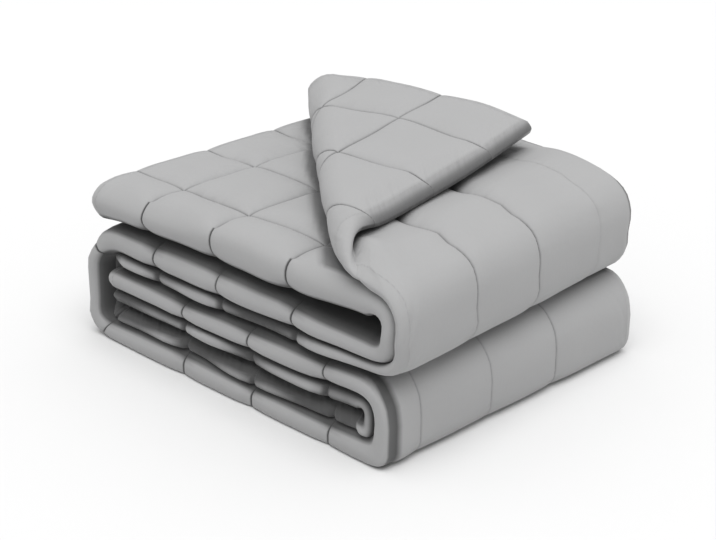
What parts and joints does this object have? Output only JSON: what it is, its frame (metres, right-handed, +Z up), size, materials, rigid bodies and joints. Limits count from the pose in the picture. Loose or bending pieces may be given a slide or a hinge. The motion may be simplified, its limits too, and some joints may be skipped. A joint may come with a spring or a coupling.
{
  "type": "folded weighted blanket",
  "caption": "Thick quilted blanket with sewn squares, folded and wound into a flat pile, the loose top corner turned back.",
  "frame": {"origin": "centre of the folded blanket's footprint box, at the surface that it rests on", "axes": "+Z up; -Y is the side where the folded edges show; +X is the side of the two wrapped turns"},
  "size_m": [0.5055, 0.4108, 0.2606],
  "materials": {
    "quilted_cloth": "plain mid-grey smooth woven cotton, matt with a faint sheen"
  },
  "bodies": {
    "root": {"blanket": "quilted_cloth"}
  },
  "joints": []
}
